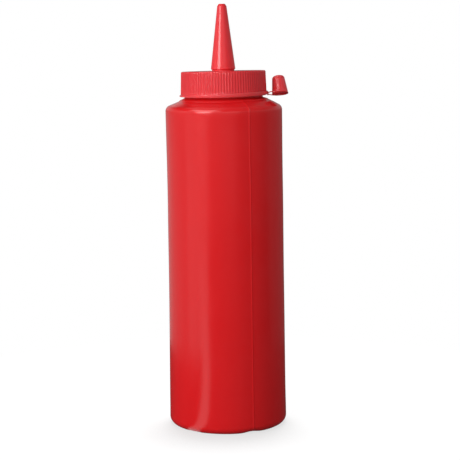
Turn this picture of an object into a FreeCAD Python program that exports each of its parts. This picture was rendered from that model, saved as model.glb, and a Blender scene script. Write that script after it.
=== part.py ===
"""Squeeze bottle for sauce: a blow-moulded bottle, a ribbed screw closure with a
tall conical spout, and a tether whose small loop carries the tip cap.

Millimetres, +Z up. The origin is the centre of the foot, on the surface the bottle
stands on. +X points to the side where the tip cap hangs, -Y is the front.
"""
import FreeCAD, Part
import os
import Sketcher
from FreeCAD import Placement, Rotation, Vector

SHEET = "Sizes"

# alias, value in mm (or degrees, or a count), what it is
SIZES = [
    # bottle
    ("body_dia", 56.0, "bottle, across the heel, its widest place"),
    ("shoulder_dia", 54.9, "bottle, across the corner of the shoulder"),
    ("wall_pull_dia", 54.2, "control point that draws the side wall in to a slight waist"),
    ("wall_pull_height", 88.0, "height of that control point"),
    ("shoulder_height", 151.2, "height of the shoulder's corner"),
    ("shoulder_angle", 23.5, "slope of the shoulder, degrees"),
    ("shoulder_round", 3.2, "radius of the shoulder's corner"),
    ("heel_round", 3.8, "radius where the side wall meets the foot"),
    ("foot_width", 3.0, "width of the flat ring that the bottle stands on"),
    ("pushup_depth", 1.8, "how far the base is pushed up inside the foot"),
    ("pushup_run", 2.4, "width of the slope from the foot to the raised base"),
    ("collar_run", 2.2, "shoulder's collar, a low step round the neck, out from the neck"),
    ("collar_rise", 0.55, "height of that step"),
    ("neck_dia", 36.8, "neck that the closure screws on"),
    ("neck_rise", 10.8, "neck, from its root to its mouth"),
    ("edge_round", 0.3, "small moulded edges"),
    # closure
    ("neck_clearance", 0.4, "closure's bore, larger than the neck all round"),
    ("seat_clearance", 0.3, "closure's plate, above the mouth of the neck"),
    ("skirt_gap", 0.9, "closure's lower edge, above the root of the neck"),
    ("plate_thick", 1.4, "closure's top plate"),
    ("rim_wall", 1.1, "wall of the plain rim below the ribs"),
    ("rim_rise", 0.7, "height of the plain rim"),
    ("crest_proud", 0.3, "crests of the ribs, proud of the rim"),
    ("skirt_draft", 0.35, "how much the skirt narrows to its top, in radius"),
    ("skirt_round", 0.8, "radius of the closure's top edge"),
    ("rib_count", 96, "ribs round the skirt"),
    ("rib_depth", 0.4, "depth of the flutes between the ribs"),
    ("rib_land", 0.36, "width of a rib's crest"),
    ("closure_cant", 0.5, "how far the screwed-on closure sits out of square, degrees"),
    ("closure_play", 0.2, "how far it sits off the neck's axis, away from the tip cap"),
    # spout
    ("spout_rise", 31.1, "spout, above the closure's plate"),
    ("spout_dia", 11.48, "spout, across its foot"),
    ("spout_tip_dia", 4.14, "spout, across its tip"),
    ("spout_neck_dia", 10.54, "narrow neck under the spout's foot"),
    ("spout_neck_rise", 0.65, "height of that neck"),
    ("spout_lip_rise", 0.3, "height of the slope from the neck out to the spout"),
    ("tip_round", 0.7, "radius of the spout's tip"),
    ("orifice_dia", 2.4, "hole in the spout's tip"),
    ("orifice_depth", 8.0, "how deep the hole is"),
    # tether
    ("strap_clearance", 0.1, "strap, clear of the ribs all round"),
    ("strap_thick", 0.45, "strap, in radius"),
    ("strap_drop", 0.25, "strap's lower edge, below the closure's"),
    ("strap_low", 0.7, "strap's upper edge at its hinge, above the closure's lower edge"),
    ("strap_high", 2.0, "the same at the loop"),
    ("hinge_width", 3.0, "hinge web between the closure's rim and the strap"),
    ("hinge_rise", 0.5, "height of the hinge web"),
    ("tab_width", 6.0, "tab that carries the loop, across"),
    ("tab_proud", 0.2, "tab, proud of the strap"),
    ("tab_low", 0.6, "tab's lower face, below the closure's lower edge"),
    ("tab_high", 1.6, "tab's upper face, above that edge"),
    ("loop_dia", 10.0, "small loop, outside"),
    ("loop_width", 0.9, "small loop, width of its strand"),
    ("loop_thick", 0.55, "small loop, thickness of its strand"),
    ("loop_bite", 0.35, "how far the loop runs into the strap"),
    ("loop_level", 0.5, "middle of the loop above the closure's lower edge"),
    ("loop_twist", 14.0, "loop, turned front upward, degrees"),
    # tip cap
    ("cap_offset", 1.1, "tip cap, off the middle of the loop, outward"),
    ("cap_drop", 0.2, "tip cap's mouth, below the middle of the loop"),
    ("cap_lean", 5.5, "tip cap, leaning towards the bottle, degrees"),
    ("cap_rise", 8.7, "tip cap, from its mouth to its top"),
    ("cap_wall", 0.75, "wall of the tip cap"),
    ("cap_clearance", 0.06, "tip cap's bore, clear of the spout"),
    ("cap_round", 1.6, "radius of the tip cap's top edge"),
]

# lengths that follow from the sizes, written once for every sketch that needs them
HEEL_R = "Sizes.body_dia / 2"
SHOULDER_R = "Sizes.shoulder_dia / 2"
NECK_R = "Sizes.neck_dia / 2"
COLLAR_R = f"({NECK_R} + Sizes.collar_run)"
SLOPE = "tan(Sizes.shoulder_angle * 1 deg)"
COLLAR_FOOT_R = f"({COLLAR_R} + Sizes.collar_rise)"
COLLAR_FOOT_Z = f"(Sizes.shoulder_height + ({SHOULDER_R} - {COLLAR_FOOT_R}) * {SLOPE})"
COLLAR_TOP_Z = f"({COLLAR_FOOT_Z} + Sizes.collar_rise)"
NECK_ROOT_Z = f"({COLLAR_TOP_Z} + ({COLLAR_R} - {NECK_R}) * {SLOPE})"
NECK_TOP_Z = f"({NECK_ROOT_Z} + Sizes.neck_rise)"
FOOT_OUT_R = f"({HEEL_R} - Sizes.heel_round)"
FOOT_IN_R = f"({FOOT_OUT_R} - Sizes.foot_width)"

BORE_R = f"({NECK_R} + Sizes.neck_clearance)"
RIM_R = f"({BORE_R} + Sizes.rim_wall)"
CREST_R = f"({RIM_R} + Sizes.crest_proud)"
CREST_TOP_R = f"({CREST_R} - Sizes.skirt_draft)"
PLATE_UNDER_Z = "(Sizes.neck_rise + Sizes.seat_clearance - Sizes.skirt_gap)"
SKIRT_RISE = f"({PLATE_UNDER_Z} + Sizes.plate_thick)"
SPOUT_FOOT_Z = f"({SKIRT_RISE} + Sizes.spout_neck_rise + Sizes.spout_lip_rise)"
SPOUT_TIP_Z = f"({SKIRT_RISE} + Sizes.spout_rise)"
SPOUT_TAPER = (
    "((Sizes.spout_dia - Sizes.spout_tip_dia) / 2"
    " / (Sizes.spout_rise - Sizes.spout_neck_rise - Sizes.spout_lip_rise))"
)

STRAP_IN_R = f"({CREST_R} + Sizes.strap_clearance)"
STRAP_OUT_R = f"({STRAP_IN_R} + Sizes.strap_thick)"
LOOP_X = f"({STRAP_OUT_R} + Sizes.loop_dia / 2 - Sizes.loop_bite)"
CAP_X = f"({LOOP_X} + Sizes.cap_offset)"
CAP_DEPTH = "(Sizes.cap_rise - Sizes.cap_wall)"
CAP_MOUTH = "-1 * Sizes.cap_drop"
CAP_CROWN = "(Sizes.cap_rise - Sizes.cap_drop)"
CAP_FLOOR = "(Sizes.cap_rise - Sizes.cap_wall - Sizes.cap_drop)"
CAP_BORE_TOP_R = "(Sizes.spout_tip_dia / 2 + Sizes.cap_clearance)"
CAP_BORE_R = f"({CAP_BORE_TOP_R} + {CAP_DEPTH} * {SPOUT_TAPER})"
CAP_MOUTH_R = f"({CAP_BORE_R} + Sizes.cap_wall)"
CAP_TOP_R = f"({CAP_MOUTH_R} - Sizes.cap_rise * {SPOUT_TAPER})"


def fill_sheet(doc):
    """Write every size into its own cell, under its alias."""
    sheet = doc.addObject("Spreadsheet::Sheet", SHEET)
    for row, (alias, size, note) in enumerate(SIZES, start=1):
        sheet.set(f"A{row}", alias)
        sheet.set(f"B{row}", str(size))
        sheet.set(f"C{row}", note)
        sheet.setAlias(f"B{row}", alias)
    doc.recompute()
    return sheet


def value(expression):
    """The number that an expression on the sheet gives now."""
    result = FreeCAD.ActiveDocument.getObject(SHEET).evalExpression(expression)
    return float(getattr(result, "Value", result))


def new_body(doc, label):
    body = doc.addObject("PartDesign::Body", label)
    body.Label = label
    return body


def origin_feature(body, role):
    return next(o for o in body.Origin.OriginFeatures if o.Role == role)


def new_sketch(body, name, plane):
    """An empty sketch on one of the body's own origin planes."""
    sketch = body.newObject("Sketcher::SketchObject", name)
    sketch.AttachmentSupport = [(origin_feature(body, plane), "")]
    sketch.MapMode = "FlatFace"
    return sketch


def offset_sketch(sketch, axis, expression):
    """Lift a sketch off its plane, or slide it, along one of its own axes."""
    offset = sketch.AttachmentOffset
    base = offset.Base
    setattr(base, axis, value(expression))
    sketch.AttachmentOffset = Placement(base, offset.Rotation)
    sketch.setExpression(f"AttachmentOffset.Base.{axis}", expression)


def hold(sketch, kind, *where, expression):
    """Add a dimension and bind it to the sheet."""
    index = sketch.addConstraint(Sketcher.Constraint(kind, *where, value(expression)))
    sketch.setExpression(f"Constraints[{index}]", expression)


def place_corner(sketch, line, corner):
    """Hold the start of a line at a corner given as two expressions."""
    across, up = corner
    if across == "0":
        sketch.addConstraint(Sketcher.Constraint("PointOnObject", line, 1, -2))
    else:
        hold(sketch, "DistanceX", -1, 1, line, 1, expression=across)
    if up == "0":
        sketch.addConstraint(Sketcher.Constraint("PointOnObject", line, 1, -1))
    else:
        hold(sketch, "DistanceY", -1, 1, line, 1, expression=up)


def point(corner):
    across, up = corner
    return Vector(value(across), value(up), 0)


def outline(sketch, corners, pull=None):
    """Close a chain of lines through corners, each held by the sheet. With pull, the
    first of them is bowed: a quadratic spline drawn towards that control point."""
    points = [point(corner) for corner in corners]
    count = len(points)
    for i in range(count):
        start, end = points[i], points[(i + 1) % count]
        if i == 0 and pull:
            edge = Part.BSplineCurve([start, point(pull), end], None, None, False, 2, None, False)
        else:
            edge = Part.LineSegment(start, end)
        sketch.addGeometry(edge, False)
    for i in range(count):
        sketch.addConstraint(Sketcher.Constraint("Coincident", i, 2, (i + 1) % count, 1))
    for i, corner in enumerate(corners):
        place_corner(sketch, i, corner)
    if pull:
        sketch.exposeInternalGeometry(0)
        middle_pole = count + 1
        hold(sketch, "DistanceX", -1, 1, middle_pole, 3, expression=pull[0])
        hold(sketch, "DistanceY", -1, 1, middle_pole, 3, expression=pull[1])
    return sketch


def rectangle(sketch, across, up):
    """Close a rectangle with one corner on the sketch's origin."""
    outline(sketch, [("0", "0"), (across, "0"), (across, up), ("0", up)])


def circle(sketch, radius):
    """Add a circle about the sketch's origin."""
    geometry = Part.Circle(Vector(0, 0, 0), Vector(0, 0, 1), value(radius))
    index = sketch.addGeometry(geometry, False)
    sketch.addConstraint(Sketcher.Constraint("Coincident", index, 3, -1, 1))
    hold(sketch, "Radius", index, expression=radius)


def revolve(body, name, sketch):
    feature = body.newObject("PartDesign::Revolution", name)
    feature.Profile = sketch
    feature.ReferenceAxis = (sketch, ["V_Axis"])
    feature.Angle = 360.0
    return feature


def pad(body, name, sketch, length, midplane=False):
    feature = body.newObject("PartDesign::Pad", name)
    feature.Profile = sketch
    feature.setExpression("Length", length)
    if midplane:
        feature.SideType = "Symmetric"
    return feature


def cut_through(body, name, sketch):
    """Cut the sketch's outline right through the body, both ways."""
    feature = body.newObject("PartDesign::Pocket", name)
    feature.Profile = sketch
    feature.Type = "ThroughAll"
    feature.SideType = "Symmetric"
    return feature


def find_edges(shape, circles, slack=1e-3):
    """Names of the edges that lie on the given circles, each a centre and a radius."""
    names = []
    for number, edge in enumerate(shape.Edges, start=1):
        curve = edge.Curve
        if not isinstance(curve, Part.Circle):
            continue
        for centre, wanted in circles:
            if abs(curve.Radius - wanted) < slack and curve.Center.distanceToPoint(centre) < slack:
                names.append(f"Edge{number}")
    return names


def round_edges(body, name, circles, radius):
    """Fillet the edges that lie on the given circles."""
    body.Document.recompute()
    names = find_edges(body.Tip.Shape, circles)
    if len(names) < len(circles):
        raise RuntimeError(f"{name}: found {len(names)} of {len(circles)} edges")
    base = body.Tip
    feature = body.newObject("PartDesign::Fillet", name)
    feature.Base = (base, names)
    feature.setExpression("Radius", radius)
    return feature


def on_axis(*corners):
    """Circles round the body's own axis, from (radius, height) expressions."""
    return [(Vector(0, 0, value(up)), value(across)) for across, up in corners]


def make_bottle(doc):
    """One turned solid. The side wall is a single shallow curve with a slight waist.
    A shut, opaque bottle shows nothing of its inside, so it stays solid."""
    body = new_body(doc, "bottle")
    sketch = new_sketch(body, "BottleProfile", "XZ_Plane")
    corners = [
        (HEEL_R, "0"),
        (SHOULDER_R, "Sizes.shoulder_height"),
        (COLLAR_FOOT_R, COLLAR_FOOT_Z),
        (COLLAR_R, COLLAR_TOP_Z),
        (NECK_R, NECK_ROOT_Z),
        (NECK_R, NECK_TOP_Z),
        ("0", NECK_TOP_Z),
        ("0", "Sizes.pushup_depth"),
        (f"{FOOT_IN_R} - Sizes.pushup_run", "Sizes.pushup_depth"),
        (FOOT_IN_R, "0"),
    ]
    outline(sketch, corners, pull=("Sizes.wall_pull_dia / 2", "Sizes.wall_pull_height"))
    revolve(body, "BottleTurned", sketch)
    round_edges(body, "HeelRound", on_axis((HEEL_R, "0")), "Sizes.heel_round")
    shoulder = on_axis((SHOULDER_R, "Sizes.shoulder_height"))
    round_edges(body, "ShoulderRound", shoulder, "Sizes.shoulder_round")
    small = on_axis(
        (COLLAR_FOOT_R, COLLAR_FOOT_Z),
        (COLLAR_R, COLLAR_TOP_Z),
        (NECK_R, NECK_TOP_Z),
        (FOOT_IN_R, "0"),
    )
    round_edges(body, "SmallRounds", small, "Sizes.edge_round")
    return body


def flute_section(body, name, crest_radius, height):
    """A V across one flute, open past the crests, at one height of the skirt."""
    sketch = new_sketch(body, name, "XY_Plane")
    offset_sketch(sketch, "z", height)
    # the V is carried out as far past the crests as it is deep, so it is twice as wide there
    inner = f"{crest_radius} - Sizes.rib_depth"
    outer = f"{crest_radius} + Sizes.rib_depth"
    side = f"(2 * pi * {CREST_R} / Sizes.rib_count - Sizes.rib_land)"
    points = [point((inner, "0")), point((outer, side)), point((outer, f"-1 * {side}"))]
    for i in range(3):
        sketch.addGeometry(Part.LineSegment(points[i], points[(i + 1) % 3]), False)
    for i in range(3):
        sketch.addConstraint(Sketcher.Constraint("Coincident", i, 2, (i + 1) % 3, 1))
    sketch.addConstraint(Sketcher.Constraint("PointOnObject", 0, 1, -1))
    sketch.addConstraint(Sketcher.Constraint("Symmetric", 1, 1, 1, 2, -1))
    hold(sketch, "DistanceX", -1, 1, 0, 1, expression=inner)
    hold(sketch, "DistanceX", -1, 1, 1, 1, expression=outer)
    hold(sketch, "DistanceY", -1, 1, 1, 1, expression=side)
    return sketch


def make_closure(doc):
    """A moulded screw closure: plain rim, fluted skirt, flat plate and conical spout.
    The skirt is bored for the neck. The spout has its hole, and is solid below it."""
    body = new_body(doc, "closure")
    profile = [
        (BORE_R, "0"),
        (RIM_R, "0"),
        (RIM_R, "Sizes.rim_rise"),
        (CREST_R, "Sizes.rim_rise"),
        (CREST_TOP_R, SKIRT_RISE),
        ("Sizes.spout_neck_dia / 2", SKIRT_RISE),
        ("Sizes.spout_neck_dia / 2", f"{SKIRT_RISE} + Sizes.spout_neck_rise"),
        ("Sizes.spout_dia / 2", SPOUT_FOOT_Z),
        ("Sizes.spout_tip_dia / 2", SPOUT_TIP_Z),
        ("Sizes.orifice_dia / 2", SPOUT_TIP_Z),
        ("Sizes.orifice_dia / 2", f"{SPOUT_TIP_Z} - Sizes.orifice_depth"),
        ("0", f"{SPOUT_TIP_Z} - Sizes.orifice_depth"),
        ("0", PLATE_UNDER_Z),
        (BORE_R, PLATE_UNDER_Z),
    ]
    sketch = outline(new_sketch(body, "ClosureProfile", "XZ_Plane"), profile)
    revolve(body, "ClosureTurned", sketch)
    round_edges(body, "SkirtRound", on_axis((CREST_TOP_R, SKIRT_RISE)), "Sizes.skirt_round")
    tip = on_axis(("Sizes.spout_tip_dia / 2", SPOUT_TIP_Z))
    round_edges(body, "TipRound", tip, "Sizes.tip_round")
    foot = on_axis(("Sizes.spout_dia / 2", SPOUT_FOOT_Z), ("Sizes.spout_neck_dia / 2", SKIRT_RISE))
    round_edges(body, "SpoutRounds", foot, "Sizes.edge_round")
    turned = body.Tip
    doc.recompute()
    before = turned.Shape.Volume
    flute = body.newObject("PartDesign::SubtractiveLoft", "Flute")
    flute.Profile = flute_section(body, "FluteLow", CREST_R, "Sizes.rim_rise")
    flute.Sections = [flute_section(body, "FluteHigh", CREST_TOP_R, SKIRT_RISE)]
    flute.Ruled = True
    pattern = body.newObject("PartDesign::PolarPattern", "Flutes")
    pattern.Originals = [flute]
    pattern.Axis = (origin_feature(body, "Z_Axis"), [""])
    pattern.Angle = 360.0
    pattern.setExpression("Occurrences", "Sizes.rib_count")
    body.Tip = pattern
    doc.recompute()
    if pattern.Shape.Volume >= before:
        raise RuntimeError("the flutes cut nothing")
    return body


def make_tether(doc):
    """One moulding: a strap round the closure, hinged at the side away from the cap,
    a small loop, and the tip cap, a cup whose bore fits the spout's tip."""
    body = new_body(doc, "tether")
    ring = new_sketch(body, "StrapRing", "XY_Plane")
    circle(ring, STRAP_OUT_R)
    circle(ring, STRAP_IN_R)
    offset_sketch(ring, "z", "-1 * Sizes.strap_drop")
    pad(body, "Strap", ring, "Sizes.strap_high + Sizes.strap_drop")

    # everything above a plane that falls from the loop's side to the hinge goes
    above = new_sketch(body, "StrapAbove", "XZ_Plane")
    reach = f"(2 * {STRAP_OUT_R})"
    offset_sketch(above, "x", f"-1 * {STRAP_OUT_R}")
    outline(above, [
        ("0", "Sizes.strap_low"),
        (reach, "Sizes.strap_high"),
        (reach, "2 * Sizes.strap_high"),
        ("0", "2 * Sizes.strap_high"),
    ])
    cut_through(body, "StrapFall", above)

    web = new_sketch(body, "HingeWeb", "XY_Plane")
    offset_sketch(web, "x", f"-1 * ({STRAP_IN_R} + Sizes.strap_thick / 2)")
    offset_sketch(web, "y", "-0.5 * Sizes.hinge_width")
    web_length = f"({STRAP_IN_R} - {RIM_R} + Sizes.strap_thick)"
    rectangle(web, web_length, "Sizes.hinge_width")
    pad(body, "Hinge", web, "Sizes.hinge_rise")
    rim = new_sketch(body, "RimCircle", "XY_Plane")
    circle(rim, RIM_R)
    cut_through(body, "RimSeat", rim)

    tab = new_sketch(body, "TabOutline", "XY_Plane")
    offset_sketch(tab, "x", f"{STRAP_IN_R} + Sizes.strap_thick / 2")
    offset_sketch(tab, "y", "-0.5 * Sizes.tab_width")
    offset_sketch(tab, "z", "-1 * Sizes.tab_low")
    tab_reach = "(Sizes.strap_thick / 2 + Sizes.tab_proud)"
    rectangle(tab, tab_reach, "Sizes.tab_width")
    pad(body, "Tab", tab, "Sizes.tab_low + Sizes.tab_high")

    loop = new_sketch(body, "LoopRing", "XY_Plane")
    loop.AttachmentOffset = Placement(Vector(), Rotation(0, 0, -value("Sizes.loop_twist")))
    offset_sketch(loop, "x", LOOP_X)
    offset_sketch(loop, "z", "Sizes.loop_level")
    circle(loop, "Sizes.loop_dia / 2")
    circle(loop, "Sizes.loop_dia / 2 - Sizes.loop_width")
    pad(body, "Loop", loop, "Sizes.loop_thick", midplane=True)

    cup = new_sketch(body, "CapProfile", "XZ_Plane")
    lean = Rotation(value("Sizes.cap_lean"), 0, -value("Sizes.loop_twist"))
    cup.AttachmentOffset = Placement(Vector(), lean)
    offset_sketch(cup, "x", CAP_X)
    offset_sketch(cup, "y", "Sizes.loop_level")
    outline(cup, [
        (CAP_BORE_R, CAP_MOUTH),
        (CAP_MOUTH_R, CAP_MOUTH),
        (CAP_TOP_R, CAP_CROWN),
        ("0", CAP_CROWN),
        ("0", CAP_FLOOR),
        (CAP_BORE_TOP_R, CAP_FLOOR),
    ])
    revolve(body, "TipCap", cup)

    body.Document.recompute()
    crown = (cup.Placement.multVec(point(("0", CAP_CROWN))), value(CAP_TOP_R))
    round_edges(body, "CapRound", [crown], "Sizes.cap_round")
    return body


def check(doc, pieces):
    """Stop on a failed feature, or a piece that is not one sound solid."""
    for item in doc.Objects:
        if {"Invalid", "Error"} & set(item.State):
            raise RuntimeError(f"{item.Label}: {item.State}")
    for piece in pieces:
        shape = piece.Shape
        if shape.isNull() or not shape.isValid():
            raise RuntimeError(f"{piece.Label}: empty or invalid")
        if len(shape.Solids) != 1:
            raise RuntimeError(f"{piece.Label}: {len(shape.Solids)} solids")


def main():
    doc = FreeCAD.newDocument("SqueezeBottle")
    fill_sheet(doc)
    bottle = make_bottle(doc)
    closure = make_closure(doc)
    tether = make_tether(doc)
    # the closure and its tether sit on the neck together, slightly askew and off centre
    cant = Rotation(Vector(0, -1, 0), value("Sizes.closure_cant"))
    for piece in (closure, tether):
        piece.Placement = Placement(Vector(), cant)
        piece.setExpression("Placement.Base.x", "-1 * Sizes.closure_play")
        piece.setExpression("Placement.Base.z", f"{NECK_ROOT_Z} + Sizes.skirt_gap")
        piece.setExpression("Placement.Rotation.Angle", "Sizes.closure_cant")
    doc.recompute()
    pieces = (bottle, closure, tether)
    check(doc, pieces)
    os.makedirs("parts", exist_ok=True)
    for piece in pieces:
        piece.Shape.exportStep(f"parts/{piece.Label}.step")
        print(piece.Label, round(piece.Shape.Volume), "mm3", piece.Placement)


main()
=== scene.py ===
"""Looks of the squeeze bottle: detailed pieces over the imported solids, their plastics,
the table, the studio light and the camera, all in the frame of the solids. Sizes of the
pieces are in millimetres and turned to metres where a mesh is made. Those of the table,
the lamps and the camera are in metres."""
import bpy
import bmesh
import math
from mathutils import Matrix, Vector, noise


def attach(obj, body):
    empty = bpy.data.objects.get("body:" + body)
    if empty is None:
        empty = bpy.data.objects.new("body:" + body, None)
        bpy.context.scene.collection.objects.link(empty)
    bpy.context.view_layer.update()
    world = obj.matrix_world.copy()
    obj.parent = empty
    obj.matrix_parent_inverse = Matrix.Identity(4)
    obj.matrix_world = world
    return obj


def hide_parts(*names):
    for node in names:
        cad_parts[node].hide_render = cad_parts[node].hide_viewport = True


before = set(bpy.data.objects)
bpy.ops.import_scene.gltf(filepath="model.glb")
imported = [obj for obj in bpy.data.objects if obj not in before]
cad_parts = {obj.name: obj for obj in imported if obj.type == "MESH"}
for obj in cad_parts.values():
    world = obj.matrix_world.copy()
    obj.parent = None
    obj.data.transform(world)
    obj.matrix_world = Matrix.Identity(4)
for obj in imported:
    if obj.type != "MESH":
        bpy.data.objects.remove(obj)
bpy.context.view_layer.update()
scene = bpy.context.scene
MM = 0.001
TAU = 2 * math.pi
MERGE = 1e-7             # points nearer than this are one, in metres


# ---------------------------------------------------------------- materials

# a Mix node's sockets by number: its two colours and their mix, or its two numbers
COLOUR_A, COLOUR_B, COLOUR_MIX = 6, 7, 2
NUMBER_A, NUMBER_B = 2, 3

CLOUD = 25               # slow clouding of the pigment, mm across
PATCH = 9                # patches of handled skin, mm across
PATCH_GLOSS = 0.03       # how much glossier or duller than the rest they are
WAVE = 14                # slow unevenness of the skin, mm across
UNDER_SKIN = 0.0012      # how far light carries under the skin, in metres
# the dark red of the painted shade in grooves
PAINTED_GROOVE_SHADE = "#3a0508"


def linear(hex_colour):
    """An sRGB hex colour as linear RGBA."""
    channels = [int(hex_colour[i:i + 2], 16) / 255 for i in (1, 3, 5)]
    return [c / 12.92 if c <= 0.04045 else ((c + 0.055) / 1.055) ** 2.4 for c in channels] + [1.0]


def add_node(tree, kind, settings=None, inputs=None):
    """Add a node. A value in inputs is a number or colour, or an output socket to link."""
    node = tree.nodes.new(kind)
    for key, setting in (settings or {}).items():
        setattr(node, key, setting)
    for key, given in (inputs or {}).items():
        socket = node.inputs[key]
        if isinstance(given, bpy.types.NodeSocket):
            tree.links.new(given, socket)
        else:
            socket.default_value = given
    return node


def new_material(name):
    material = bpy.data.materials.new(name)
    material.use_nodes = True
    material.node_tree.nodes.clear()
    return material, material.node_tree


def polythene(name, colour, cloudy, roughness, grain, grain_depth, wave_depth, milky,
              groove_shade=0.0):
    """Coloured polythene out of a mould: a waxy, even colour that carries a little
    further under the skin (milky), a satin skin with a fine grain, and a slow unevenness
    that makes highlights waver. Grooves, where the piece has them, are darkened with
    painted shade. The grain's width and both depths are in millimetres."""
    material, tree = new_material(name)
    place = add_node(tree, "ShaderNodeTexCoord").outputs["Object"]
    per_mm = 1 / MM
    cloud = add_node(tree, "ShaderNodeTexNoise", inputs={
        "Vector": place, "Scale": per_mm / CLOUD, "Detail": 3.0, "Roughness": 0.5})
    tint = add_node(tree, "ShaderNodeMix", {"data_type": "RGBA"}, {
        "Factor": cloud.outputs["Fac"], COLOUR_A: linear(colour), COLOUR_B: linear(cloudy)})
    # painted shade: the deeper a point lies in a groove, the more of the dark red it takes
    groove = add_node(tree, "ShaderNodeAttribute", {"attribute_name": "groove"})
    groove_shading = add_node(tree, "ShaderNodeMath", {"operation": "MULTIPLY"}, {
        0: groove.outputs["Fac"], 1: groove_shade})
    groove_shaded = add_node(tree, "ShaderNodeMix", {"data_type": "RGBA"}, {
        "Factor": groove_shading.outputs[0], COLOUR_A: tint.outputs[COLOUR_MIX],
        COLOUR_B: linear(PAINTED_GROOVE_SHADE)})
    patch = add_node(tree, "ShaderNodeTexNoise", inputs={
        "Vector": place, "Scale": per_mm / PATCH, "Detail": 4.0, "Roughness": 0.6})
    gloss = add_node(tree, "ShaderNodeMapRange", inputs={
        "Value": patch.outputs["Fac"], "From Min": 0.3, "From Max": 0.7,
        "To Min": roughness - PATCH_GLOSS, "To Max": roughness + PATCH_GLOSS})
    # fine grain of the mould, drawn coarse enough to show
    fine = add_node(tree, "ShaderNodeTexNoise", inputs={
        "Vector": place, "Scale": per_mm / grain, "Detail": 2.0})
    grained = add_node(tree, "ShaderNodeBump", inputs={
        "Height": fine.outputs["Fac"], "Strength": 1.0, "Distance": grain_depth * MM})
    wave = add_node(tree, "ShaderNodeTexNoise", inputs={
        "Vector": place, "Scale": per_mm / WAVE, "Detail": 1.0})
    skin = add_node(tree, "ShaderNodeBump", inputs={
        "Height": wave.outputs["Fac"], "Strength": 1.0, "Distance": wave_depth * MM,
        "Normal": grained.outputs["Normal"]})
    plastic = add_node(tree, "ShaderNodeBsdfPrincipled", inputs={
        "Base Color": groove_shaded.outputs[COLOUR_MIX], "Roughness": gloss.outputs["Result"],
        "IOR": 1.51, "Subsurface Weight": milky, "Subsurface Radius": (1.0, 0.25, 0.15),
        "Subsurface Scale": UNDER_SKIN, "Normal": skin.outputs["Normal"]})
    add_node(tree, "ShaderNodeOutputMaterial", inputs={"Surface": plastic.outputs["BSDF"]})
    return material


# the bottle: soft LDPE, blow moulded, so its skin is satin and slightly uneven
bottle_ldpe = polythene(
    "red_ldpe_blow_moulded", colour="#da1b1f", cloudy="#d6191d", roughness=0.21,
    grain=0.8, grain_depth=0.002, wave_depth=0.05, milky=0.25)
# the closure: LDPE, injection moulded, a shade lighter and with an evener skin, with painted
# shade darkening its grooves
closure_ldpe = polythene(
    "red_ldpe_injection_moulded", colour="#e22c34", cloudy="#de2931", roughness=0.22,
    grain=0.6, grain_depth=0.002, wave_depth=0.02, milky=0.3, groove_shade=0.14)
# the tether is thin and flexible, straight from an unpolished mould, so it is duller,
#  and light carries far into it, which makes it paler; its colour is also set paler than the
#  closure's, a painted highlight spread over it
tether_ldpe = polythene(
    "red_ldpe_unpolished_mould", colour="#e4464c", cloudy="#df4248", roughness=0.33,
    grain=0.6, grain_depth=0.004, wave_depth=0.02, milky=0.8)


# ---------------------------------------------------------------- mesh helpers

def rounded(corners, step_deg=9.0):
    """A profile through (radius, height, rounding) corners, each rounded by an arc."""
    points = []
    for i, (r, z, rounding) in enumerate(corners):
        here = Vector((r, z))
        if rounding <= 0:
            points.append(here)
            continue
        to_last = (Vector(corners[i - 1][:2]) - here).normalized()
        to_next = (Vector(corners[(i + 1) % len(corners)][:2]) - here).normalized()
        half = to_last.angle(to_next) / 2
        reach = rounding / math.tan(half)
        start = here + to_last * reach
        middle = here + (to_last + to_next).normalized() * rounding / math.sin(half)
        turn = math.pi - 2 * half
        sign = 1 if to_last.cross(to_next) < 0 else -1
        spoke = start - middle
        steps = max(2, math.ceil(math.degrees(turn) / step_deg))
        for k in range(steps + 1):
            points.append(middle + Matrix.Rotation(sign * turn * k / steps, 2) @ spoke)
    return points


def divided(points, longest):
    """The same profile with no stretch longer than the given length."""
    result = [points[0]]
    for last, here in zip(points, points[1:]):
        count = max(1, math.ceil((here - last).length / longest))
        result += [last.lerp(here, k / count) for k in range(1, count + 1)]
    return result


def even_angles(count):
    return [TAU * k / count for k in range(count)]


def ease(value, low, high):
    """0 below low, 1 above high, and a smooth rise between them."""
    t = min(1, max(0, (value - low) / (high - low)))
    return t * t * (3 - 2 * t)


def bell(distance, width):
    """1 at a place, falling off smoothly on both sides of it."""
    return math.exp(-(distance / width) ** 2)


def join_rings(mesh, low, high):
    """Faces between two rings of the same count, or a ring and a pole."""
    count = max(len(low), len(high))
    for k in range(count):
        n = (k + 1) % count
        if len(low) == 1:
            mesh.faces.new((low[0], high[n], high[k]))
        elif len(high) == 1:
            mesh.faces.new((low[k], low[n], high[0]))
        else:
            mesh.faces.new((low[k], low[n], high[n], high[k]))


def turned(mesh, profile, angles, closed=False, relief=None):
    """Turn a profile round Z into a bmesh. relief(angle, r, z) gives an extra radius."""
    rings = []
    for r, z in profile:
        if r < 1e-6:
            rings.append([mesh.verts.new((0, 0, z * MM))])
            continue
        ring = []
        for a in angles:
            out = r + (relief(a, r, z) if relief else 0)
            ring.append(mesh.verts.new((out * math.cos(a) * MM, out * math.sin(a) * MM, z * MM)))
        rings.append(ring)
    pairs = list(zip(rings, rings[1:]))
    if closed:
        pairs.append((rings[-1], rings[0]))
    for low, high in pairs:
        join_rings(mesh, low, high)
    return rings


def shade(piece, crease_deg=40.0):
    """Smooth faces, with edges sharper than the crease kept crisp."""
    data = piece.data
    data.polygons.foreach_set("use_smooth", [True] * len(data.polygons))
    data.set_sharp_from_angle(angle=math.radians(crease_deg))


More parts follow.
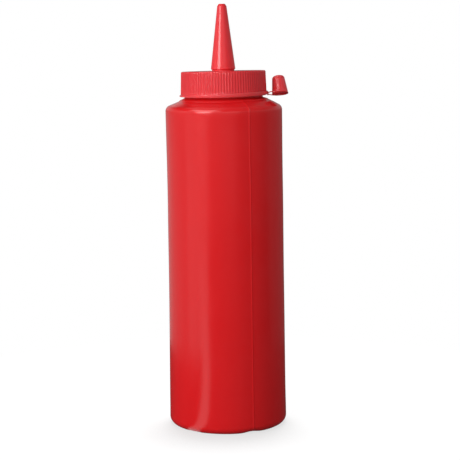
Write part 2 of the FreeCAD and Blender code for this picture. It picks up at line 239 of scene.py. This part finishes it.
def finished(name, mesh, material, placed=Matrix.Identity(4)):
    """A bmesh as a smooth-shaded object with its place in its mesh."""
    bmesh.ops.remove_doubles(mesh, verts=mesh.verts, dist=MERGE)
    bmesh.ops.recalc_face_normals(mesh, faces=mesh.faces)
    data = bpy.data.meshes.new(name)
    mesh.to_mesh(data)
    mesh.free()
    data.transform(placed)
    data.materials.append(material)
    piece = bpy.data.objects.new(name, data)
    scene.collection.objects.link(piece)
    shade(piece)
    return piece


# ---------------------------------------------------------------- bottle

PUSHUP_DEPTH = 1.8       # the base is pushed up inside the ring that the bottle stands on
PUSHUP_R = 18.8
RING_IN_R = 21.2
HEEL_R = 27.99
WALL_PULL = (27.1, 88.0)  # control point that draws the side wall in to a slight waist
SHOULDER_R = 27.45
SHOULDER_Z = 151.2
COLLAR = [(21.15, 153.94, 0.5), (20.6, 154.49, 0.3)]   # a low step round the neck's root
NECK_R = 18.4
NECK_ROOT_Z = 155.446
NECK_TOP_Z = 166.2

# a zone is the two heights between which a form sets in, or with END in its name fades;
# the corner's is two distances out from the axis
SEAM_AT = math.radians(-64.8)    # where the mould's halves met, and half a turn from it
SEAM_RIDGE = 0.16
SEAM_WIDTH = 0.24
SEAM_TOP_ZONE = (149, 151)       # the ridge turns to face up
WAVER = 0.10                     # slow unevenness of the blown side wall
WAVER_LONG = 38                  # how long its swells are
WAVER_ROUND = 1.3                # and how many there are to the wall's radius, round it
WAVER_ZONE = (6, 16)
WAVER_END_ZONE = (140, 150)
TOP_LEAN = 0.25                  # how far the blown bottle's top leans away from the tip cap
LEAN_ZONE = (100, 150)
SHOULDER_ZONE = (142, 152)
SHOULDER_TILT = math.radians(0.8)
SHOULDER_SWELL = 0.45            # the shoulder swells below the tip cap, near the neck
SWELL_R = 22
SWELL_WIDTH = 2.4
CORNER_RISE = 0.15               # its corner is a little high on the side away from the cap
CORNER_ZONE = (22, 27)
NICK_DEPTH = 0.65                # the foot is nicked where the mould pinched the tube off
NICK_WIDTH = 3.6
NICK_END_ZONE = (0.5, 4)


def wall_point(t):
    """A point on the side wall's quadratic curve, at 0 the heel and at 1 the shoulder."""
    heel, pull, shoulder = (Vector(p) for p in ((HEEL_R, 0), WALL_PULL, (SHOULDER_R, SHOULDER_Z)))
    return heel * (1 - t) ** 2 + pull * 2 * t * (1 - t) + shoulder * t * t


def bottle_profile():
    """From the middle of the base, over the foot, up the wall and in to the closed neck."""
    stretches = 60
    # the wall leaves room at both its ends for the roundings there
    wall = [wall_point(0.04 + 0.92 * k / stretches) for k in range(stretches + 1)]
    corners = [
        (0, PUSHUP_DEPTH, 0), (PUSHUP_R, PUSHUP_DEPTH, 1.0), (RING_IN_R, 0, 0.6),
        (HEEL_R, 0, 3.4), *((p.x, p.y, 0) for p in wall),
        (SHOULDER_R, SHOULDER_Z, 2.9), *COLLAR,
        (NECK_R, NECK_ROOT_Z, 0.5), (NECK_R, NECK_TOP_Z, 0.4), (0, NECK_TOP_Z, 0)]
    return divided(rounded(corners), longest=2.5)


def seam_distance(angle, r):
    """How far round the bottle a point is from the nearer of the two mould seams."""
    turn = (angle - SEAM_AT + math.pi / 2) % math.pi - math.pi / 2
    return abs(turn) * r


def seam_ridge(seam):
    """The height of the seam's fine ridge at a distance from it."""
    return SEAM_RIDGE * bell(seam, SEAM_WIDTH)


def bottle_relief(angle, r, z):
    """The mould seam's fine ridge, and the slow unevenness of a blown wall."""
    on_neck = r < NECK_R + 0.6
    if on_neck:
        return 0
    ridge = seam_ridge(seam_distance(angle, r))
    on_wall = ease(z, *WAVER_ZONE) * (1 - ease(z, *WAVER_END_ZONE))
    spot = (WAVER_ROUND * math.cos(angle), WAVER_ROUND * math.sin(angle), z / WAVER_LONG)
    return ridge + on_wall * WAVER * noise.noise(Vector(spot))


def settle(mesh):
    """What blowing and cooling leave untrue: a leaning top, a tilted shoulder, and a
    nick across the foot at each end of the mould seam."""
    for v in mesh.verts:
        x, y, z = v.co / MM
        r = math.hypot(x, y)
        lean = TOP_LEAN * ease(z, *LEAN_ZONE)
        off_neck = ease(r, NECK_R, NECK_R + 1.5)
        swell = SHOULDER_SWELL * bell(r - SWELL_R, SWELL_WIDTH) * off_neck
        slope = math.tan(SHOULDER_TILT) + swell / r if r else 0
        lift = CORNER_RISE * ease(-x, *CORNER_ZONE) * ease(z, *SHOULDER_ZONE)
        lift += max(0, x) * slope * ease(z, *SHOULDER_ZONE)
        clear_of_neck = r > NECK_R + 3
        if clear_of_neck:
            seam = seam_distance(math.atan2(y, x), r)
            lift += NICK_DEPTH * bell(seam, NICK_WIDTH) * (1 - ease(z, *NICK_END_ZONE))
            lift += seam_ridge(seam) * ease(z, *SEAM_TOP_ZONE)
        v.co = Vector((x - lean, y, z + lift)) * MM


def bottle_angles():
    """Even columns, with close ones along the two seams."""
    fan = [math.radians(d) for d in (-1.2, -0.75, -0.4, -0.2, 0, 0.2, 0.4, 0.75, 1.2)]
    clear_of_fan = math.radians(1.6)
    columns = [seam + d for seam in (SEAM_AT, SEAM_AT + math.pi) for d in fan]
    columns += [a for a in even_angles(180) if seam_distance(a, 1) > clear_of_fan]
    return sorted(c % TAU for c in columns)


blown = bmesh.new()
turned(blown, bottle_profile(), bottle_angles(), relief=bottle_relief)
settle(blown)
bottle = finished("bottle_blown", blown, bottle_ldpe)


# ---------------------------------------------------------------- closure

CANT = math.radians(0.5)   # how far the screwed-on closure sits out of square
PLAY = 0.2                 # and off the neck's axis, away from the tip cap
SKIRT_GAP = 0.9            # its lower edge, above the neck's root
SEAT = (Matrix.Translation((-PLAY * MM, 0, (NECK_ROOT_Z + SKIRT_GAP) * MM))
        @ Matrix.Rotation(-CANT, 4, "Y"))
# heights below are from the closure's lower edge
BORE_R = 18.8
RIM_R = 19.9
RIM_RISE = 0.55
CREST_R = 20.2             # at the crests of the ribs, low down
CREST_TOP_R = 19.85        # and at the top of the skirt
SKIRT_RISE = 11.6
PLATE_UNDER = 10.2
PLATE_R = 18.2             # where the skirt's fine columns of mesh meet the spout's few
BORE_MEET_Z = 1.2          # and how far inside the bore they meet its few
RIB_COUNT = 96
PER_RIB = 10               # columns of the skirt's mesh to each rib
RIB_DEPTH = 0.18
RIB_SHAPE = 1.6            # above 1, the valleys are wider than the crests
RIB_FOOT = (0.7, 1.2)      # heights between which the ribs fade in
RIB_TOP = 0.5              # and how far below the skirt's top they begin to fade out
INSIDE_R = 19.2            # what is nearer the axis has no ribs
SPOUT_NECK_R = 5.27
SPOUT_NECK_Z = 12.25
SPOUT_FOOT_R = 5.74
SPOUT_FOOT_Z = 12.55
SPOUT_TIP = [(2.204, 41.6, 0.9), (1.45, 42.69, 0.2), (1.2, 42.69, 0.12)]
HOLE_R = 1.2
HOLE_END_Z = 34.7


def skirt_profile():
    """From the bore's mouth out over the rim and up the ribbed skirt to the plate."""
    corners = [
        (BORE_R, PLATE_UNDER, 0), (BORE_R, 0, 0.15), (RIM_R, 0, 0.2), (RIM_R, RIM_RISE, 0),
        (CREST_R, 0.85, 0.1), (CREST_TOP_R, SKIRT_RISE, 0.65), (PLATE_R, SKIRT_RISE, 0)]
    # the first corner only gives the second its direction
    return divided(rounded(corners, step_deg=15)[1:], longest=0.9)


def spout_profile():
    """From the plate up the spout's neck and cone, over its lip and down its hole."""
    corners = [
        (PLATE_R, SKIRT_RISE, 0), (SPOUT_NECK_R, SKIRT_RISE, 0.25),
        (SPOUT_NECK_R, SPOUT_NECK_Z, 0.1), (SPOUT_FOOT_R, SPOUT_FOOT_Z, 0.25),
        *SPOUT_TIP, (HOLE_R, HOLE_END_Z, 0.2), (0, HOLE_END_Z, 0)]
    return divided(rounded(corners, step_deg=12), longest=1.6)


def closure_blank():
    """The closure before it has ribs, one closed skin: skirt, plate, spout and bore."""
    mesh = bmesh.new()
    coarse = even_angles(RIB_COUNT)
    skirt = turned(mesh, skirt_profile(), even_angles(RIB_COUNT * PER_RIB))
    spout = turned(mesh, spout_profile()[1:], coarse)
    bore = turned(mesh, [(0, PLATE_UNDER), (BORE_R, PLATE_UNDER), (BORE_R, BORE_MEET_Z)], coarse)
    for wide, slim in ((skirt[-1], spout[0]), (skirt[0], bore[-1])):
        for k in range(RIB_COUNT):
            arc = [wide[(k * PER_RIB + j) % len(wide)] for j in range(PER_RIB + 1)]
            mesh.faces.new(arc + [slim[(k + 1) % RIB_COUNT], slim[k]])
    return mesh


def rib_tree():
    """Geometry nodes that draw the skirt in between its ribs."""
    tree = bpy.data.node_groups.new("ribs_round_skirt", "GeometryNodeTree")
    face = tree.interface
    face.new_socket("Geometry", in_out="INPUT", socket_type="NodeSocketGeometry")
    for name, default in (
            ("Rib count", RIB_COUNT), ("Rib depth", RIB_DEPTH * MM),
            ("Foot starts", RIB_FOOT[0] * MM), ("Foot ends", RIB_FOOT[1] * MM),
            ("Top starts", (SKIRT_RISE - RIB_TOP) * MM), ("Top ends", SKIRT_RISE * MM),
            ("Inner radius", INSIDE_R * MM)):
        socket = face.new_socket(name, in_out="INPUT", socket_type="NodeSocketFloat")
        socket.default_value = default
    material = face.new_socket("Material", in_out="INPUT", socket_type="NodeSocketMaterial")
    face.new_socket("Geometry", in_out="OUTPUT", socket_type="NodeSocketGeometry")

    given = add_node(tree, "NodeGroupInput").outputs
    position = add_node(tree, "GeometryNodeInputPosition").outputs[0]
    xyz = add_node(tree, "ShaderNodeSeparateXYZ", inputs={"Vector": position}).outputs
    across = add_node(tree, "ShaderNodeVectorMath", {"operation": "MULTIPLY"}, {
        0: position, 1: (1, 1, 0)}).outputs["Vector"]
    outward = add_node(tree, "ShaderNodeVectorMath", {"operation": "NORMALIZE"}, {0: across})
    radius = add_node(tree, "ShaderNodeVectorMath", {"operation": "LENGTH"}, {0: across})

    # 1 on a rib's crest, 0 in the valleys
    angle = add_node(tree, "ShaderNodeMath", {"operation": "ARCTAN2"}, {0: xyz["Y"], 1: xyz["X"]})
    turns = add_node(tree, "ShaderNodeMath", {"operation": "MULTIPLY"}, {
        0: angle.outputs[0], 1: given["Rib count"]})
    wave = add_node(tree, "ShaderNodeMath", {"operation": "COSINE"}, {0: turns.outputs[0]})
    even = add_node(tree, "ShaderNodeMapRange", inputs={
        "Value": wave.outputs[0], "From Min": -1.0, "From Max": 1.0})
    crest = add_node(tree, "ShaderNodeMath", {"operation": "POWER"}, {
        0: even.outputs["Result"], 1: RIB_SHAPE})

    # the ribs fade in above the rim and out at the top edge, on the outside alone
    foot = add_node(tree, "ShaderNodeMapRange", inputs={
        "Value": xyz["Z"], "From Min": given["Foot starts"], "From Max": given["Foot ends"]})
    top = add_node(tree, "ShaderNodeMapRange", inputs={
        "Value": xyz["Z"], "From Min": given["Top starts"], "From Max": given["Top ends"],
        "To Min": 1.0, "To Max": 0.0})
    outside = add_node(tree, "ShaderNodeMath", {"operation": "GREATER_THAN"}, {
        0: radius.outputs["Value"], 1: given["Inner radius"]})
    inset = add_node(tree, "ShaderNodeMath", {"operation": "SUBTRACT"}, {
        0: crest.outputs[0], 1: 1.0})
    for share in (foot.outputs["Result"], top.outputs["Result"], outside.outputs[0]):
        inset = add_node(tree, "ShaderNodeMath", {"operation": "MULTIPLY"}, {
            0: inset.outputs[0], 1: share})
    groove = add_node(tree, "ShaderNodeMath", {"operation": "MULTIPLY"}, {
        0: inset.outputs[0], 1: -1.0})
    depth = add_node(tree, "ShaderNodeMath", {"operation": "MULTIPLY"}, {
        0: inset.outputs[0], 1: given["Rib depth"]})
    offset = add_node(tree, "ShaderNodeVectorMath", {"operation": "SCALE"}, {
        0: outward.outputs["Vector"], "Scale": depth.outputs[0]})

    # the material reads how deep in a groove each point is, and paints shade there
    marked = add_node(tree, "GeometryNodeStoreNamedAttribute", {"data_type": "FLOAT"}, {
        "Geometry": given["Geometry"], "Name": "groove", "Value": groove.outputs[0]})
    ribbed = add_node(tree, "GeometryNodeSetPosition", inputs={
        "Geometry": marked.outputs[0], "Offset": offset.outputs["Vector"]})
    plain = add_node(tree, "GeometryNodeRealizeInstances", inputs={"Geometry": ribbed.outputs[0]})
    painted = add_node(tree, "GeometryNodeSetMaterial", inputs={
        "Geometry": plain.outputs[0], "Material": given["Material"]})
    add_node(tree, "NodeGroupOutput", inputs={"Geometry": painted.outputs[0]})
    return tree, material.identifier


def add_ribs(piece, material):
    """Run the rib tree over a piece, and leave the piece a plain mesh."""
    ribs = piece.modifiers.new("ribs", "NODES")
    ribs.node_group, material_input = rib_tree()
    ribs[material_input] = material
    depsgraph = bpy.context.evaluated_depsgraph_get()
    data = bpy.data.meshes.new_from_object(piece.evaluated_get(depsgraph))
    piece.modifiers.clear()
    piece.data = data
    shade(piece)


closure = finished("closure_ribbed", closure_blank(), closure_ldpe)
add_ribs(closure, closure_ldpe)
closure.data.transform(SEAT)


# ---------------------------------------------------------------- tether

# heights are from the closure's lower edge, and the loop is on the +X side
STRAP_IN_R = 20.3
STRAP_OUT_R = 20.75
STRAP_TOP = 0.7            # the strap's upper edge at its hinge
STRAP_CLIMB = 1.3          # and how much higher it is at the loop
STRAP_UNDER = -0.25        # its lower edge at the sides
STRAP_ARCH = 0.4           # how much higher that is at both ends
STRAP_TILT = 0.2           # and higher still at the loop, lower at the hinge
HINGE_WEB = ((-20.52, -1.5, 0), (-RIM_R - 0.02, 1.5, 0.5))   # a block, by two corners
TAB = ((20.5, -3.0, -0.1), (STRAP_OUT_R + 0.2, 3.0, 1.6))    # another, which holds the loop
LOOP_X = 25.4
LOOP_LEVEL = 0.75
LOOP_IN_R = 4.4
LOOP_OUT_R = 5.0
LOOP_HALF = 0.17           # half the thickness of its strand
TWIST = Matrix.Rotation(math.radians(-14), 4, "X")           # its front is turned upward
CAP_OFFSET = 1.1           # the tip cap's middle, outward from the loop's
CAP_DROP = 0.4             # and its mouth, below the loop
CAP_LEAN = Matrix.Rotation(math.radians(-5.5), 4, "Y")
CAP_BORE = [(0, 7.95, 0), (2.13, 7.95, 0.3), (3.1, 0, 0.1)]  # down to its mouth
CAP_SKIN = [(3.85, 0, 0.25), (2.79, 8.7, 1.6), (0, 8.7, 0)]  # and up outside


def strap(mesh):
    """The ring round the closure, with soft outer edges, climbing towards the loop."""
    rings = []
    for a in even_angles(240):
        top = STRAP_TOP + STRAP_CLIMB * (1 + math.cos(a)) / 2
        low = STRAP_UNDER + STRAP_ARCH * math.cos(a) ** 2 + STRAP_TILT * math.cos(a)
        section = rounded([
            (STRAP_IN_R, low, 0.05), (STRAP_OUT_R, low, 0.2),
            (STRAP_OUT_R, top, 0.2), (STRAP_IN_R, top, 0.05)], step_deg=22.5)
        rings.append([mesh.verts.new((r * math.cos(a) * MM, r * math.sin(a) * MM, z * MM))
                      for r, z in section])
    for last, here in zip(rings, rings[1:] + rings[:1]):
        join_rings(mesh, last, here)


def block(mesh, low, high):
    """A small box between two corners."""
    for v in bmesh.ops.create_cube(mesh, size=1)["verts"]:
        v.co = Vector([(low[i] + (high[i] - low[i]) * (v.co[i] + 0.5)) * MM for i in range(3)])


def add_part(mesh, part, place):
    """Put a placed part into the mesh."""
    part.transform(place)
    bmesh.ops.remove_doubles(part, verts=part.verts, dist=MERGE)
    data = bpy.data.meshes.new("part")
    part.to_mesh(data)
    part.free()
    mesh.from_mesh(data)
    bpy.data.meshes.remove(data)


def loop(mesh):
    """The small loop that carries the tip cap, turned front upward."""
    part = bmesh.new()
    section = rounded([
        (LOOP_IN_R, -LOOP_HALF, 0.1), (LOOP_OUT_R, -LOOP_HALF, 0.12),
        (LOOP_OUT_R, LOOP_HALF, 0.12), (LOOP_IN_R, LOOP_HALF, 0.1)], step_deg=22.5)
    turned(part, section, even_angles(96), closed=True)
    add_part(mesh, part, Matrix.Translation((LOOP_X * MM, 0, LOOP_LEVEL * MM)) @ TWIST)


def tip_cap(mesh):
    """A small cup whose bore fits the spout's tip."""
    part = bmesh.new()
    section = divided(rounded(CAP_BORE + CAP_SKIN, step_deg=12), longest=1.0)
    turned(part, section, even_angles(72))
    on_loop = Matrix.Translation(((LOOP_X + CAP_OFFSET) * MM, 0, LOOP_LEVEL * MM))
    add_part(mesh, part, on_loop @ TWIST @ CAP_LEAN @ Matrix.Translation((0, 0, -CAP_DROP * MM)))


moulding = bmesh.new()
strap(moulding)
block(moulding, *HINGE_WEB)
block(moulding, *TAB)
loop(moulding)
tip_cap(moulding)
tether = finished("tether_and_tip_cap", moulding, tether_ldpe, SEAT)


# ---------------------------------------------------------------- hand-over

for piece, node, slot in (
        (bottle, "bottle", "bottle_plastic"),
        (closure, "closure", "closure_plastic"),
        (tether, "tether", "closure_plastic")):
    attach(piece, "root")
    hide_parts(node)


# ---------------------------------------------------------------- table and studio

TABLE_R = 0.2
TABLE_MATT = "#959595"           # the table as it throws light back on the bottle
TABLE_SEEN = "#616161"           # and as the eye sees it, apart from its glow
TABLE_GLOW = 0.95                # the glow makes it white to the eye alone
TABLE_SHADE = 0.26               # how much of the glow the painted shadow takes away at the bottle's foot
SHADE_REACH = 0.06               # and how far from the foot
SHADE_FROM = (0.05, 0.75, 0.66)  # the way to the soft light the glow stands for; the shadow is painted where the bottle lies that way
SHADE_OPEN = (0.5, 0.8)          # how open to it a spot in full shade is, and one in none
TABLE_SHINE = 0.05               # how bright shiny things see the table, a painted reflection
STREAK = 1.2                     # and the painted reflection of the strip light that lies across it
STREAK_AT = (-46, -31)           # azimuths from the front, degrees
STREAK_SOFT = 0.05               # radians
ROOM_FRONT = 0.45                # even light of the room, from in front
ROOM_BACK = 0.6                  # and from behind
ROOM_TURNS = (-0.1, 0.8)         # how far back it changes, as a direction's Y
# what shiny things see of the studio: azimuth from the front (left is negative) and
# elevation in degrees, softness in degrees, brightness
PANELS = {
    "left_wall_low": ((-180, -82), (-16, -2), 4, 0.4),
    "left_wall_back": ((-180, -100), (1, 26), 8, 0.5),
    "left_wall_front": ((-100, -60), (1, 26), 5, 1.0),
    "left_front_low": ((-82, -53), (-16, -1), 3, 0.75),
    "strip_light": ((-55, -28), (5, 26), 2, 9.0),
    "strip_foot": ((-53, -32), (-9, -1), 3, 0.5),
    "strip_on_table": ((-54, -37), (-16, -9), 2, 1.3),
    "front_low": ((-32, 20), (-6, -1), 3, 0.3),
    "front_high": ((-34, 30), (1, 26), 5, 1.0),
    "right_wall": ((30, 180), (1, 26), 8, 0.35),
    "right_back_low": ((95, 180), (-16, -1), 6, 0.1),
    "overhead_box": ((-78, -12), (32, 48), 3, 5.5),
    "ceiling_left": ((-180, 0), (50, 90), 8, 0.6),
    "ceiling_right": ((0, 180), (30, 90), 8, 0.15),
}
# soft light on the bottle: place, aim, width and height, watts
LAMPS = {
    "key_left": ((-0.75, -0.75, 0.45), (0, 0, 0.1), (0.5, 0.9), 7.5),
    "front_left": ((-0.35, -1.0, 0.6), (0, 0, 0.1), (0.5, 0.5), 2.5),
    "right_front": ((0.85, -0.45, 0.5), (0, 0, 0.12), (0.5, 0.9), 0.2),
}


def azimuth_of(tree, xyz):
    """How far round from the front a direction is, in radians, with the left negative."""
    front = add_node(tree, "ShaderNodeMath", {"operation": "MULTIPLY"}, {0: xyz["Y"], 1: -1.0})
    return add_node(tree, "ShaderNodeMath", {"operation": "ARCTAN2"}, {
        0: xyz["X"], 1: front.outputs[0]}).outputs[0]


def within(tree, angle, span, soft):
    """1 where an angle is in a span of degrees, falling smoothly to 0 outside it. The
    angle and the softness are in radians."""
    low, high = (math.radians(d) for d in span)
    up = add_node(tree, "ShaderNodeMapRange", {"interpolation_type": "SMOOTHSTEP"}, {
        "Value": angle, "From Min": low - soft, "From Max": low + soft})
    down = add_node(tree, "ShaderNodeMapRange", {"interpolation_type": "SMOOTHSTEP"}, {
        "Value": angle, "From Min": high - soft, "From Max": high + soft,
        "To Min": 1.0, "To Max": 0.0})
    return add_node(tree, "ShaderNodeMath", {"operation": "MULTIPLY"}, {
        0: up.outputs["Result"], 1: down.outputs["Result"]}).outputs[0]


def table_material():
    """Table top, lit grey, that the eye sees as white but for the bottle's soft shadow, which is
    painted into its glow. Shiny things see it dark, with a painted reflection of the strip light
    across it."""
    material, tree = new_material("white_table_top")
    path = add_node(tree, "ShaderNodeLightPath").outputs
    place = add_node(tree, "ShaderNodeTexCoord").outputs["Object"]
    xyz = add_node(tree, "ShaderNodeSeparateXYZ", inputs={"Vector": place}).outputs
    # the streak is a painted reflection of the strip light
    streak = within(tree, azimuth_of(tree, xyz), STREAK_AT, STREAK_SOFT)
    shine = add_node(tree, "ShaderNodeMath", {"operation": "MULTIPLY_ADD"}, {
        0: streak, 1: STREAK, 2: TABLE_SHINE})
    matt = add_node(tree, "ShaderNodeBsdfDiffuse", inputs={"Color": linear(TABLE_MATT)})
    seen = add_node(tree, "ShaderNodeBsdfDiffuse", inputs={"Color": linear(TABLE_SEEN)})
    # the glow stands for soft light from above and behind; the bottle's shadow is painted into
    # it, darker where occlusion finds the bottle near its foot
    way = add_node(tree, "ShaderNodeCombineXYZ", inputs=dict(zip("XYZ", SHADE_FROM)))
    painted_shadow = add_node(tree, "ShaderNodeAmbientOcclusion", {"samples": 16}, {
        "Distance": SHADE_REACH, "Normal": way.outputs["Vector"]})
    level = add_node(tree, "ShaderNodeMapRange", inputs={
        "Value": painted_shadow.outputs["AO"], "From Min": SHADE_OPEN[0], "From Max": SHADE_OPEN[1],
        "To Min": TABLE_GLOW * (1 - TABLE_SHADE), "To Max": TABLE_GLOW})
    glow = add_node(tree, "ShaderNodeEmission", inputs={
        "Color": linear("#ffffff"), "Strength": level.outputs["Result"]})
    # painted reflection: what shiny things see of the table is this glow
    dark = add_node(tree, "ShaderNodeEmission", inputs={
        "Color": linear("#ffffff"), "Strength": shine.outputs[0]})
    both = add_node(tree, "ShaderNodeAddShader", inputs={0: seen.outputs[0], 1: glow.outputs[0]})
    eye = add_node(tree, "ShaderNodeMixShader", inputs={
        0: path["Is Camera Ray"], 1: matt.outputs[0], 2: both.outputs[0]})
    mix = add_node(tree, "ShaderNodeMixShader", inputs={
        0: path["Is Glossy Ray"], 1: eye.outputs[0], 2: dark.outputs[0]})
    add_node(tree, "ShaderNodeOutputMaterial", inputs={"Surface": mix.outputs[0]})
    return material


def table_top():
    """A round table top under the bottle."""
    rim = [(TABLE_R * math.cos(a), TABLE_R * math.sin(a), 0) for a in even_angles(96)]
    data = bpy.data.meshes.new("table_top")
    data.from_pydata(rim, [], [range(len(rim))])
    data.materials.append(table_material())
    top = bpy.data.objects.new("table_top", data)
    scene.collection.objects.link(top)
    return top


def studio():
    """The room round the table: white where it is seen, even and dim as light, and for
    shiny things dark with the panels in it."""
    world = bpy.data.worlds.new("studio")
    world.use_nodes = True
    tree = world.node_tree
    tree.nodes.clear()
    path = add_node(tree, "ShaderNodeLightPath").outputs
    way = add_node(tree, "ShaderNodeTexCoord").outputs["Generated"]
    xyz = add_node(tree, "ShaderNodeSeparateXYZ", inputs={"Vector": way}).outputs
    azimuth = azimuth_of(tree, xyz)
    elevation = add_node(tree, "ShaderNodeMath", {"operation": "ARCSINE"}, {
        0: xyz["Z"]}).outputs[0]
    shine = 0.0
    for sideways, upward, softness, bright in PANELS.values():
        soft = math.radians(softness)
        both = add_node(tree, "ShaderNodeMath", {"operation": "MULTIPLY"}, {
            0: within(tree, azimuth, sideways, soft), 1: within(tree, elevation, upward, soft)})
        shine = add_node(tree, "ShaderNodeMath", {"operation": "MULTIPLY_ADD"}, {
            0: both.outputs[0], 1: bright, 2: shine}).outputs[0]
    room = add_node(tree, "ShaderNodeMapRange", inputs={
        "Value": xyz["Y"], "From Min": ROOM_TURNS[0], "From Max": ROOM_TURNS[1],
        "To Min": ROOM_FRONT, "To Max": ROOM_BACK})
    light = add_node(tree, "ShaderNodeMix", inputs={
        "Factor": path["Is Glossy Ray"], NUMBER_A: room.outputs["Result"], NUMBER_B: shine})
    strength = add_node(tree, "ShaderNodeMix", inputs={
        "Factor": path["Is Camera Ray"], NUMBER_A: light.outputs[0], NUMBER_B: 1.0})
    air = add_node(tree, "ShaderNodeBackground", inputs={
        "Color": linear("#ffffff"), "Strength": strength.outputs[0]})
    add_node(tree, "ShaderNodeOutputWorld", inputs={"Surface": air.outputs[0]})
    return world


def softbox(name, at, look, size, watts):
    """A rectangular studio light at a place, turned to a point, and unseen in gloss."""
    data = bpy.data.lights.new(name, "AREA")
    data.shape = "RECTANGLE"
    data.size, data.size_y = size
    data.energy = watts
    lamp = bpy.data.objects.new(name, data)
    scene.collection.objects.link(lamp)
    lamp.location = at
    lamp.rotation_euler = (Vector(look) - Vector(at)).to_track_quat("-Z", "Y").to_euler()
    lamp.visible_glossy = False


floor = table_top()
scene.world = studio()
for lamp_name, (at, look, size, watts) in LAMPS.items():
    softbox(lamp_name, at, look, size, watts)


# ---------------------------------------------------------------- camera

CAMERA_AT = (0.00196, -0.6606, 0.1762)
CAMERA_DOWN = math.radians(7.2)      # it looks down this much
CAMERA_ROLL = math.radians(-0.72)
SENSOR_MM = 36
LENS_MM = 109.57

camera_data = bpy.data.cameras.new("camera")
camera_data.sensor_width = SENSOR_MM
camera_data.lens = LENS_MM
camera_data.clip_start = 0.05
camera = bpy.data.objects.new("camera", camera_data)
scene.collection.objects.link(camera)
camera.matrix_world = (
    Matrix.Translation(CAMERA_AT)
    @ Matrix.Rotation(math.pi / 2 - CAMERA_DOWN, 4, "X")
    @ Matrix.Rotation(CAMERA_ROLL, 4, "Z"))
scene.camera = camera
scene.view_settings.view_transform = "Standard"
